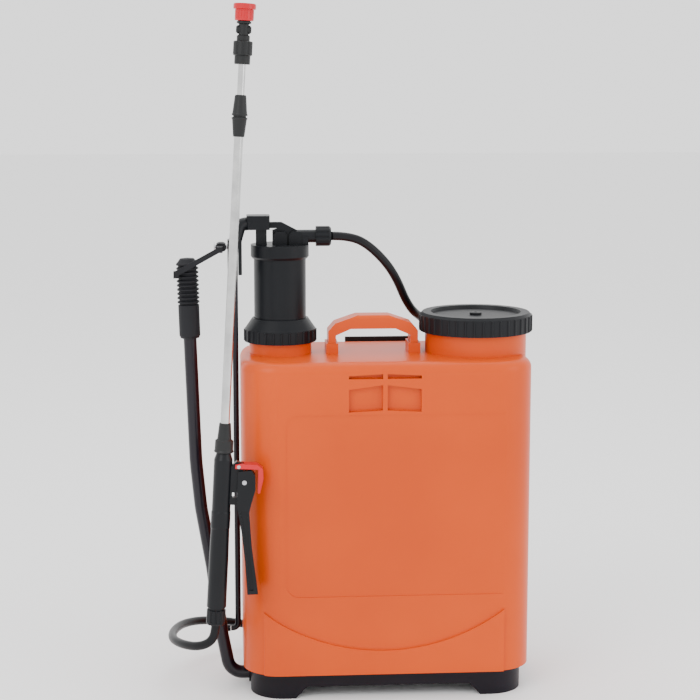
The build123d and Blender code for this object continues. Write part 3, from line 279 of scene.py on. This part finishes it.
# The lever is a bent steel bar and the connecting rod a thinner one, both powder coated almost black.
coated = surface("powder_coat", (0.0055, 0.0032, 0.0080), (0.0032, 0.0018, 0.0050), 0.30, 1100.0,
                 0.30, coat=0.25)
dress(coated, "lever_bar", "connecting_rod")

# The grip is a soft sleeve pushed over the bar, ribbed above and smooth below.
# The stowage strap is a strip of the same soft rubber.
soft_rubber = surface("soft_rubber", (0.0100, 0.0102, 0.0125), (0.0060, 0.0062, 0.0080), 0.55, 1300.0, 0.35)
dress(soft_rubber, "lever_grip", "stow_strap")

# The pump and its nuts are moulded in blue-black polypropylene with a fine spark-eroded grain.
black = surface("pump_polypropylene", (0.0040, 0.0048, 0.0066), (0.0024, 0.0030, 0.0044), 0.36, 850.0, 0.25)
dress(black, "pump_nut", "air_chamber", "chamber_top", "outlet_nut", "pump_cylinder", "foot_valve", "piston",
      "suction_strainer", "dip_tube")

# The filler's ribbed screw cap is the same plastic with a duller face, and its basket strainer hangs
# in the mouth.
cap_black = surface("cap_polypropylene", (0.0075, 0.0082, 0.0100), (0.0045, 0.0050, 0.0065), 0.44,
                    1000.0, 0.35)
dress(cap_black, "filler_cap", "filler_strainer")

# Every seal, cup, gasket and grommet is black nitrile rubber, dull and slightly bloomed.
nitrile = surface("nitrile", (0.0100, 0.0100, 0.0104), (0.0060, 0.0060, 0.0064), 0.68, 1600.0, 0.30)
dress(nitrile, "pump_gasket", "piston_cup", "filler_seal", "vent_disc", "stem_seal", "lance_seal",
      "lock_grommet")

# The gun's body and trigger are tough black nylon, brighter than the pump's plastic.
gun_black = surface("gun_nylon", (0.0060, 0.0066, 0.0084), (0.0036, 0.0040, 0.0052), 0.30, 900.0, 0.18)
dress(gun_black, "gun_body", "trigger", "gun_hose_nut", "gun_hose_tail", "gun_filter", "valve_stem")

# The trigger's latch and the cap over the nozzle are red polypropylene, bright from the mould.
red = surface("red_polypropylene", (0.56, 0.010, 0.018), (0.46, 0.007, 0.013), 0.28, 700.0, 0.12, coat=0.2)
dress(red, "trigger_lock", "nozzle_cap")

# The lance's nuts, its slide lock and the nozzle are charcoal acetal.
charcoal = surface("charcoal_acetal", (0.0170, 0.0175, 0.0180), (0.0110, 0.0115, 0.0120), 0.38, 1000.0, 0.25)
dress(charcoal, "lance_nut", "lock_sleeve", "lock_nut", "nozzle_nut", "nozzle_body", "nozzle_swirl")

# The lance is two thin polished tubes, one sliding in the other, with faint draw lines along them.
chrome = surface("polished_tube", (0.66, 0.66, 0.65), (0.52, 0.52, 0.52), 0.16, 1800.0, 0.05, metal=1.0,
                 patch=45.0, spread=0.05)
dress(chrome, "lance_outer_tube", "lance_inner_tube")

# The strap bracket and the buckles are plain black moulded plastic with a fine grain.
fitting_black = surface("buckle_acetal", (0.0090, 0.0092, 0.0100), (0.0055, 0.0058, 0.0064), 0.46,
                        1200.0, 0.30)
dress(fitting_black, "strap_bracket", "strap_buckles")


def woven(name, light, dark, thread, rough, by_uv):
    """A cloth: two crossing bands of waves, one set for each way of the thread, decide the colour and
    lift the surface. Thread is the spacing in metres."""
    material = bpy.data.materials.new(name)
    material.use_nodes = True
    tree = material.node_tree
    shader = tree.nodes["Principled BSDF"]
    shader.inputs["Roughness"].default_value = rough
    shader.inputs["Sheen Weight"].default_value = 0.3
    shader.inputs["Sheen Roughness"].default_value = 0.5
    place = tree.nodes.new("ShaderNodeTexCoord")
    crossing = tree.nodes.new("ShaderNodeMath")
    crossing.operation = "MULTIPLY"
    for slot_number, way in enumerate(("X", "Y") if by_uv else ("X", "Z")):
        band = tree.nodes.new("ShaderNodeTexWave")
        band.wave_profile = "SIN"
        band.bands_direction = way
        band.inputs["Scale"].default_value = 0.31416 / thread
        band.inputs["Distortion"].default_value = 0.0
        tree.links.new(place.outputs["UV" if by_uv else "Object"], band.inputs["Vector"])
        tree.links.new(band.outputs["Fac"], crossing.inputs[slot_number])
    wear = tree.nodes.new("ShaderNodeTexNoise")
    wear.inputs["Scale"].default_value = 30.0
    wear.inputs["Detail"].default_value = 5.0
    mixed = tree.nodes.new("ShaderNodeMath")
    mixed.operation = "MULTIPLY_ADD"
    mixed.inputs[1].default_value = 0.5
    tones = tree.nodes.new("ShaderNodeValToRGB")
    tones.color_ramp.elements[0].color = (*dark, 1)
    tones.color_ramp.elements[1].color = (*light, 1)
    lift = tree.nodes.new("ShaderNodeBump")
    lift.inputs["Strength"].default_value = 0.8
    lift.inputs["Distance"].default_value = 0.3 * thread
    tree.links.new(place.outputs["Object"], wear.inputs["Vector"])
    tree.links.new(wear.outputs["Fac"], mixed.inputs[0])
    tree.links.new(crossing.outputs[0], mixed.inputs[2])
    tree.links.new(mixed.outputs[0], tones.inputs["Fac"])
    tree.links.new(tones.outputs["Color"], shader.inputs["Base Color"])
    tree.links.new(crossing.outputs[0], lift.inputs["Height"])
    tree.links.new(lift.outputs["Normal"], shader.inputs["Normal"])
    return material


# Two padded shoulder straps hang behind the tank: foam in black cloth, crowned across, drawn in
# round the edge by a bound seam, with two rows of stitching down the middle.
PAD_HALF_WIDTH = 0.0245
PAD_HALF_THICK = 0.0043
PAD_FALL = 0.260
PAD_SAG = 0.022
PAD_TOP = (0.031, 0.106, 0.364)
PAD_SPREAD = 0.026
CHANNEL_AT = 0.34
CHANNEL_WIDTH = 0.05
CHANNEL_DEPTH = 0.35
BINDING_RADIUS = 0.0019
THREAD_RADIUS = 0.00035
STITCH_LENGTH = 0.0035
STITCH_LOW = 0.0024
STITCH_RISE = 0.0007
pad_cloth = woven("pad_cloth", (0.0200, 0.0205, 0.0230), (0.0055, 0.0055, 0.0070), 0.0011, 0.8, by_uv=False)
binding_cloth = woven("binding_cloth", (0.0140, 0.0140, 0.0160), (0.0045, 0.0045, 0.0055), 0.0008,
                      0.7, by_uv=True)
thread_finish = surface("stitch_thread", (0.10, 0.10, 0.11), (0.06, 0.06, 0.07), 0.6, 2500.0, 0.3)


def pad_line(side, along):
    """The pad's middle: straight down and outwards, with a sag of one minus the square of the way from
    the middle."""
    x, y, z = PAD_TOP
    return np.stack([side * (x + PAD_SPREAD * along), y + PAD_SAG * (1 - (2 * along - 1) ** 2),
                     z - PAD_FALL * along], -1)


def end_shape(along):
    """How wide the pad is at each point of its length: full in the middle, rounded off at both ends by
    the square root of one minus the tenth power of the way from the middle."""
    return np.sqrt(np.clip(1 - np.abs(2 * along - 1) ** 10, 0.0, 1))


for side, hand in ((-1, "left"), (1, "right")):
    along = np.linspace(0.004, 0.996, 120)
    angle = -np.linspace(0, 2 * math.pi, 56, endpoint=False)
    width = PAD_HALF_WIDTH * end_shape(along)[:, None]
    across = np.sign(np.cos(angle)) * np.abs(np.cos(angle)) ** 0.6
    channel = 1 - CHANNEL_DEPTH * np.exp(-((np.abs(across) - CHANNEL_AT) / CHANNEL_WIDTH) ** 2)
    crown = np.sign(np.sin(angle)) * np.abs(np.sin(angle)) ** 0.75 * channel
    thick = PAD_HALF_THICK * (0.35 + 0.65 * end_shape(along)[:, None])
    profile = np.stack([width * across[None, :], thick * crown[None, :]], -1)
    pad = grid_piece(f"shoulder_pad_{hand}", carried(pad_line(side, along), profile, (1.0, 0.0, 0.0)))
    pad.data.materials.append(pad_cloth)
    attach(pad, "root")
    if side < 0:
        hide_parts("shoulder_pads")

    edge_way = np.concatenate([along, along[::-1]])
    edge_side = np.concatenate([np.ones_like(along), -np.ones_like(along)])
    edge = pad_line(side, edge_way)
    edge[:, 0] += edge_side * PAD_HALF_WIDTH * end_shape(edge_way)
    closed = np.vstack([edge, edge[:1]])
    binding = grid_piece(f"pad_binding_{hand}", carried(closed, ring_profile(BINDING_RADIUS, 12),
                                                        (0.0, 1.0, 0.0)))
    binding.data.materials.append(binding_cloth)
    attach(binding, "root")

    for row in (-1, 1):
        for face in (-1, 1):
            stitch_way = np.linspace(0.06, 0.94, 1200)
            seam = pad_line(side, stitch_way)
            seam[:, 0] += row * CHANNEL_AT * PAD_HALF_WIDTH
            tangent = np.gradient(seam, axis=0)
            tangent /= np.linalg.norm(tangent, axis=1, keepdims=True)
            out = np.cross(tangent, np.array([1.0, 0.0, 0.0]))
            arch = np.abs(np.sin(stitch_way * PAD_FALL / STITCH_LENGTH * math.pi))
            seam += face * out * (STITCH_LOW + STITCH_RISE * arch)[:, None]
            row_name = "out" if row > 0 else "in"
            face_name = "a" if face > 0 else "b"
            stitches = grid_piece(f"pad_stitches_{hand}_{row_name}_{face_name}",
                                  carried(seam, ring_profile(THREAD_RADIUS, 6), (1.0, 0.0, 0.0)))
            stitches.data.materials.append(thread_finish)
            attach(stitches, "root")

# The straps' webbing is flat woven polypropylene tape: a loop over the bracket's bar above,
# and a tape through the buckle to the tray's lug below.
WEB_HALF_WIDTH = 0.015
WEB_HALF_THICK = 0.0012
webbing_cloth = woven("webbing_tape", (0.0220, 0.0220, 0.0250), (0.0050, 0.0050, 0.0062), 0.0016,
                      0.62, by_uv=True)
BAR_MIDDLE_Y = 0.098
BAR_MIDDLE_Z = 0.382
WRAP_RADIUS = 0.0043
WRAP_DEGREES = 300
LOOP_X = 0.019
LOOP_HALF_WIDTH = 0.014
LOOP_FOOT_Z = 0.362


def tape_profile(half_width, half_thick):
    """A flat tape's section: a superellipse, the eighth root of cosine and sine across and the fourth
    root through, so that its edges are rounded and its faces flat."""
    angle = -np.linspace(0, 2 * math.pi, 32, endpoint=False)
    return np.stack([half_width * np.sign(np.cos(angle)) * np.abs(np.cos(angle)) ** 0.25,
                     half_thick * np.sign(np.sin(angle)) * np.abs(np.sin(angle)) ** 0.5], -1)


for side, hand in ((-1, "left"), (1, "right")):
    turn = np.radians(np.linspace(0, WRAP_DEGREES, 60))
    wrap = np.stack([np.full_like(turn, side * LOOP_X), BAR_MIDDLE_Y + WRAP_RADIUS * np.cos(turn),
                     BAR_MIDDLE_Z + WRAP_RADIUS * np.sin(turn)], -1)
    fall = np.linspace(LOOP_FOOT_Z, BAR_MIDDLE_Z - 0.0005, 24)
    tail = np.stack([np.full_like(fall, side * LOOP_X), np.full_like(fall,
                                                                     BAR_MIDDLE_Y + WRAP_RADIUS), fall], -1)
    loop = grid_piece(f"strap_loop_{hand}", carried(np.vstack([tail, wrap]),
                                                    tape_profile(LOOP_HALF_WIDTH, WEB_HALF_THICK),
                                                    (1.0, 0.0, 0.0)))
    loop.data.materials.append(webbing_cloth)
    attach(loop, "root")
    tape_line = spline_points([(side * 0.0571, 0.1049, 0.106), (side * 0.0571, 0.1049, 0.102),
                               (side * 0.0590, 0.0930, 0.056), (side * 0.0600, 0.0885, 0.034),
                               (side * 0.0600, 0.0885, 0.009)], 14)
    tape = grid_piece(f"lower_tape_{hand}", carried(tape_line, tape_profile(WEB_HALF_WIDTH, WEB_HALF_THICK),
                                                    (1.0, 0.0, 0.0)))
    tape.data.materials.append(webbing_cloth)
    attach(tape, "root")
    if side < 0:
        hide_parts("strap_loops")
        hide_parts("lower_webbing")

bpy.context.view_layer.update()
